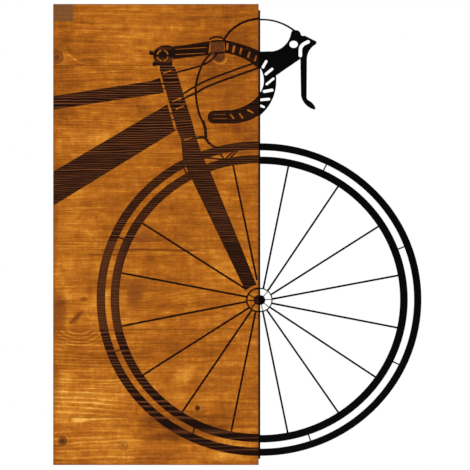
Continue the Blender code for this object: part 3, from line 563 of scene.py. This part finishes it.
def rubber():
    """Matte black rubber with a fine moulded grain and a dusty bloom."""
    g = Graph("rubber_finish")
    grain = g.noise(g.x / 0.35, g.y / 0.35, g.z / 0.35, 2.0, 0.6)
    dust = g.noise(g.x / 4.0, g.y / 4.0, g.z / 4.0, 3.0, 0.6)
    tone = 0.45 + dust * 0.3 + grain * 0.1
    g.set(Base_Color=g.ramp(tone, (0.1, (0.012, 0.012, 0.012)), (1.0, (0.050, 0.049, 0.047))))
    g.set(Roughness=(0.78 + dust * 0.08).clamped())
    g.bump(grain, 0.03)
    return g.material


# ---------------------------------------------------------------- the CAD pieces

# Points of the imported triangles are joined when they are this close, in millimetres, and an edge is shaded
# smooth when its angle is smaller than this, in degrees.
WELD = 0.002
SMOOTH_BELOW = 34.0


def shade(obj, limit):
    """Joins the imported triangles and shades them smooth, apart from edges sharper than limit degrees."""
    mesh = obj.data
    if "custom_normal" in mesh.attributes:
        mesh.attributes.remove(mesh.attributes["custom_normal"])
    tree = bpy.data.node_groups.new(f"smooth_{obj.name}", "GeometryNodeTree")
    tree.interface.new_socket("Geometry", in_out="INPUT", socket_type="NodeSocketGeometry")
    tree.interface.new_socket("Geometry", in_out="OUTPUT", socket_type="NodeSocketGeometry")
    start = tree.nodes.new("NodeGroupInput")
    end = tree.nodes.new("NodeGroupOutput")
    weld = tree.nodes.new("GeometryNodeMergeByDistance")
    weld.inputs["Distance"].default_value = WELD * MM
    angle = tree.nodes.new("GeometryNodeInputMeshEdgeAngle")
    sharp = tree.nodes.new("FunctionNodeCompare")
    sharp.operation = "LESS_EQUAL"
    sharp.inputs["B"].default_value = math.radians(limit)
    faces = tree.nodes.new("GeometryNodeSetShadeSmooth")
    edges = tree.nodes.new("GeometryNodeSetShadeSmooth")
    edges.domain = "EDGE"
    link = tree.links.new
    link(start.outputs[0], weld.inputs["Geometry"])
    link(weld.outputs[0], faces.inputs["Geometry"])
    link(faces.outputs[0], edges.inputs["Geometry"])
    link(angle.outputs["Unsigned Angle"], sharp.inputs["A"])
    link(sharp.outputs[0], edges.inputs["Shade Smooth"])
    link(edges.outputs[0], end.inputs[0])
    obj.modifiers.new("smooth", "NODES").node_group = tree
    flat = obj.modifiers.new("flat_faces_stay_flat", "WEIGHTED_NORMAL")
    flat.keep_sharp = True
    flat.weight = 100


def dress(material, *names):
    for name in names:
        for slot in NODES[name].material_slots:
            slot.material = material


for lamella in range(1, LAMELLAS + 1):
    dress(Pine(lamella).material, f"lamella_{lamella}")
dress(powder_coat(), "steel_art")
dress(zinc(), *(n for n in NODES if n.startswith(("flange_screw", "hanger_"))))
dress(rubber(), *(n for n in NODES if n.startswith("bumper_")))

for name, piece in NODES.items():
    if not name.startswith("lamella"):
        shade(piece, SMOOTH_BELOW)


# ---------------------------------------------------------------- glue in the joints

GLUE_FRONT = FRONT + 0.76
GLUE_BACK = -0.24
GLUE_SLACK = 0.02
GLUE_INSET = 0.3
GLUE_STEPS = 64


def glue_sheet(number, material):
    """The glue between lamella `number` and the next: a thin sheet whose edges wander a little."""
    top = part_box(f"lamella_{number}")[0].z / MM - GLUE_SLACK / 2
    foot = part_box(f"lamella_{number + 1}")[1].z / MM + GLUE_SLACK / 2
    start = GLUE_INSET - HALF_WIDTH
    shell = bmesh.new()
    columns = []
    for i in range(GLUE_STEPS + 1):
        across = start - 2 * start * i / GLUE_STEPS
        wander = 0.10 * math.sin(across * 0.19 + number) + 0.06 * math.sin(across * 0.53 + 2 * number)
        front, back = GLUE_FRONT + 0.5 * wander, GLUE_BACK + 0.5 * wander
        corners = [(front, foot), (back, foot), (back, top), (front, top)]
        columns.append([shell.verts.new((across * MM, a * MM, b * MM)) for a, b in corners])
    for first, second in zip(columns, columns[1:]):
        for i in range(4):
            j = (i + 1) % 4
            shell.faces.new((first[i], second[i], second[j], first[j]))
    shell.faces.new(columns[0])
    shell.faces.new(columns[-1])
    bmesh.ops.recalc_face_normals(shell, faces=shell.faces)
    mesh = bpy.data.meshes.new(f"glue_line_{number}")
    shell.to_mesh(mesh)
    shell.free()
    mesh.materials.append(material)
    piece = bpy.data.objects.new(mesh.name, mesh)
    bpy.context.scene.collection.objects.link(piece)
    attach(piece, "panel")


glue_material = glue()
for joint in range(1, LAMELLAS):
    glue_sheet(joint, glue_material)


# ---------------------------------------------------------------- floor, light and camera

VIEW_WIDTH = 0.5811
VIEW_CENTRE = Vector((0.0978, FRONT * MM, -0.0006))
CAMERA_AWAY = 3.5
SENSOR = 36.0
FLOOR_HEIGHT = -0.335
FLOOR_CENTRE = (0.1, -0.35)
FLOOR_HALF = (1.05, 0.85)
FLOOR_CORNER = 0.25
FLOOR_CORNER_STEPS = 12


def plain_material(name, low, high, size, roughness):
    g = Graph(name)
    cloud = g.noise(g.x / size, g.y / size, g.z / size, 3.0, 0.6)
    g.set(Base_Color=g.ramp(0.5 + cloud * 0.3, (0.0, low), (1.0, high)))
    g.set(Roughness=roughness)
    return g.material


def make_floor():
    """A pale floor slab with round corners, low enough to stay under the picture's lower edge."""
    outline = []
    for quarter, (sx, sy) in enumerate(((1, 1), (-1, 1), (-1, -1), (1, -1))):
        x = FLOOR_CENTRE[0] + sx * (FLOOR_HALF[0] - FLOOR_CORNER)
        y = FLOOR_CENTRE[1] + sy * (FLOOR_HALF[1] - FLOOR_CORNER)
        for i in range(FLOOR_CORNER_STEPS + 1):
            turn = math.radians(90 * (quarter + i / FLOOR_CORNER_STEPS))
            outline.append((x + FLOOR_CORNER * math.cos(turn), y + FLOOR_CORNER * math.sin(turn)))
    shell = bmesh.new()
    shell.faces.new([shell.verts.new((a, b, FLOOR_HEIGHT)) for a, b in outline])
    mesh = bpy.data.meshes.new("floor")
    shell.to_mesh(mesh)
    shell.free()
    mesh.materials.append(plain_material("floor_pale", (0.80, 0.80, 0.80), (0.86, 0.86, 0.86), 90.0, 0.9))
    floor = bpy.data.objects.new("floor", mesh)
    bpy.context.scene.collection.objects.link(floor)


def area_light(name, place, size, power):
    data = bpy.data.lights.new(name, "AREA")
    data.shape = "RECTANGLE"
    data.size, data.size_y = size
    data.energy = power
    light = bpy.data.objects.new(name, data)
    light.location = place
    light.rotation_euler = (VIEW_CENTRE - light.location).to_track_quat("-Z", "Y").to_euler()
    bpy.context.scene.collection.objects.link(light)


def make_world():
    """White behind the object; the surroundings that light it are dimmer, as in a photo studio."""
    world = bpy.data.worlds.new("studio")
    world.use_nodes = True
    nodes, link = world.node_tree.nodes, world.node_tree.links.new
    nodes.clear()
    out = nodes.new("ShaderNodeOutputWorld")
    mix = nodes.new("ShaderNodeMixShader")
    seen, unseen = nodes.new("ShaderNodeBackground"), nodes.new("ShaderNodeBackground")
    seen.inputs["Color"].default_value = (1.0, 1.0, 1.0, 1.0)
    seen.inputs["Strength"].default_value = 1.0
    unseen.inputs["Color"].default_value = (0.97, 0.98, 1.0, 1.0)
    unseen.inputs["Strength"].default_value = 0.06
    link(nodes.new("ShaderNodeLightPath").outputs["Is Camera Ray"], mix.inputs[0])
    link(unseen.outputs[0], mix.inputs[1])
    link(seen.outputs[0], mix.inputs[2])
    link(mix.outputs[0], out.inputs["Surface"])
    bpy.context.scene.world = world


def make_camera():
    data = bpy.data.cameras.new("camera")
    data.sensor_width = SENSOR
    data.lens = SENSOR * CAMERA_AWAY / VIEW_WIDTH
    data.dof.use_dof = False
    data.clip_start, data.clip_end = 0.05, 30.0
    camera = bpy.data.objects.new("camera", data)
    camera.location = VIEW_CENTRE - Vector((0.0, CAMERA_AWAY, 0.0))
    camera.rotation_euler = (math.radians(90.0), 0.0, 0.0)
    bpy.context.scene.collection.objects.link(camera)
    bpy.context.scene.camera = camera


make_floor()
make_world()
make_camera()
area_light("key", (-2.3, -2.0, 1.9), (1.8, 1.4), 112.0)
area_light("fill", (2.7, -2.0, 0.9), (1.6, 1.6), 74.0)
area_light("low_fill", (-1.9, -2.3, -1.1), (1.6, 0.8), 26.0)
area_light("rear_left", (-1.8, 2.2, 1.4), (1.4, 1.4), 80.0)
area_light("rear_right", (2.0, 2.0, 0.9), (1.4, 1.4), 60.0)
bpy.context.scene.view_settings.view_transform = "Standard"
bpy.context.scene.view_settings.look = "None"
